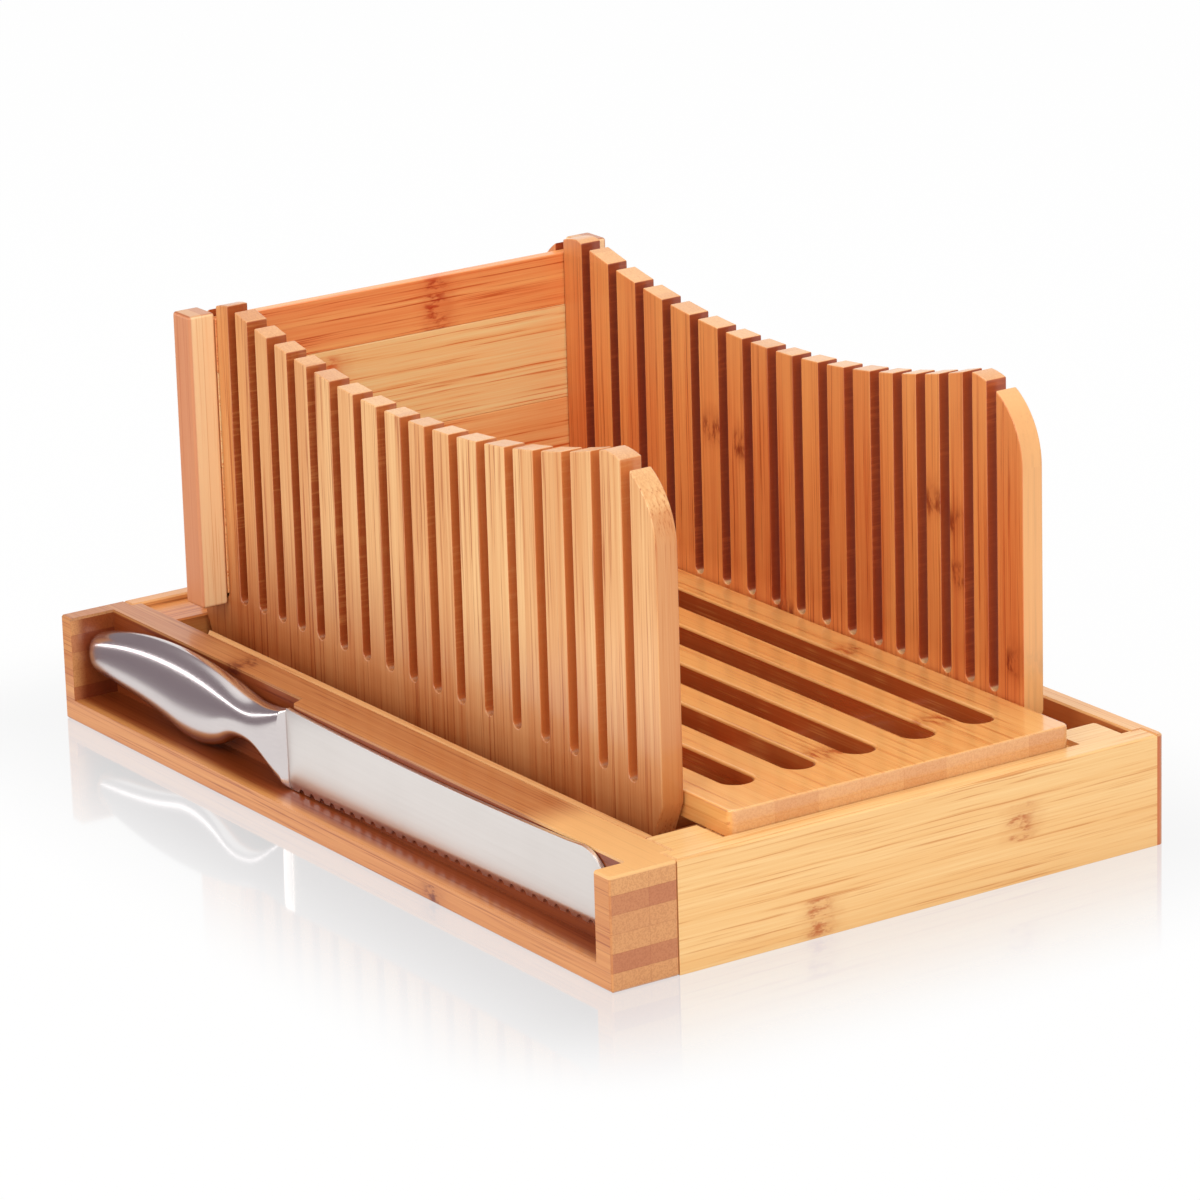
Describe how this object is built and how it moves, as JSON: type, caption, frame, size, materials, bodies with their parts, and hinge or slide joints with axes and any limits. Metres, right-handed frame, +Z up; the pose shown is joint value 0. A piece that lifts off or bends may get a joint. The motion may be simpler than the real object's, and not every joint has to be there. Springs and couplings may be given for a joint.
{
  "type": "bread slicer guide",
  "caption": "Bamboo bread slicer guide: crumb tray with a slatted board, slotted side guides, a sliding back panel and a serrated knife lying in a side pocket.",
  "frame": {"origin": "centre of the tray's underside, on the table", "axes": "+X to the right with the knife on the left, +Y to the rear along the loaf, +Z up"},
  "size_m": [0.224, 0.35, 0.1564],
  "materials": {
    "block_bamboo": "satin lacquered caramel bamboo",
    "wall_bamboo": "satin lacquered pale bamboo",
    "rail_bamboo": "satin lacquered pale bamboo",
    "floor_bamboo": "plain bamboo ply",
    "board_bamboo": "glossy lacquered warm bamboo",
    "guide_bamboo": "satin lacquered tan bamboo",
    "panel_bamboo": "satin lacquered streaky bamboo",
    "batten_bamboo": "satin lacquered bamboo",
    "blade_steel": "brushed along the height",
    "grip_steel": "satin",
    "screw_steel": "plated",
    "magnet_nickel": "nickel plated"
  },
  "bodies": {
    "tray": {"knife_block": "block_bamboo", "knife_magnets": "magnet_nickel", "front_wall": "wall_bamboo", "right_wall": "block_bamboo", "rear_wall": "block_bamboo", "rear_ledge": "wall_bamboo", "side_rail": "rail_bamboo", "tray_floor": "floor_bamboo"},
    "board": {"slatted_board": "board_bamboo", "front_cleat": "block_bamboo", "rear_cleat": "block_bamboo", "cleat_screws": "screw_steel"},
    "left_guide_plate": {"left_guide": "guide_bamboo"},
    "right_guide_plate": {"right_guide": "guide_bamboo"},
    "back_panel": {"panel_lower_stave": "panel_bamboo", "panel_middle_stave": "panel_bamboo", "panel_upper_stave": "panel_bamboo", "left_batten": "batten_bamboo", "right_batten": "batten_bamboo"},
    "knife": {"knife_blade": "blade_steel", "knife_grip": "grip_steel"}
  },
  "joints": [
    {"name": "board_lift", "type": "slide", "parent": "tray", "child": "board", "axis": [0, 0, 1], "range_m": [0, 0.04]},
    {"name": "left_guide_lift", "type": "slide", "parent": "board", "child": "left_guide_plate", "axis": [0, 0, 1], "range_m": [0, 0.03]},
    {"name": "right_guide_lift", "type": "slide", "parent": "board", "child": "right_guide_plate", "axis": [0, 0, 1], "range_m": [0, 0.03]},
    {"name": "panel_lift", "type": "slide", "parent": "left_guide_plate", "child": "back_panel", "axis": [0, 0, 1], "range_m": [0, 0.11]},
    {"name": "knife_lift", "type": "slide", "parent": "tray", "child": "knife", "axis": [0, 0, 1], "range_m": [0, 0.045]}
  ],
  "couplings": [
    {"joint": "right_guide_lift", "follows": "left_guide_lift", "ratio": 1}
  ]
}
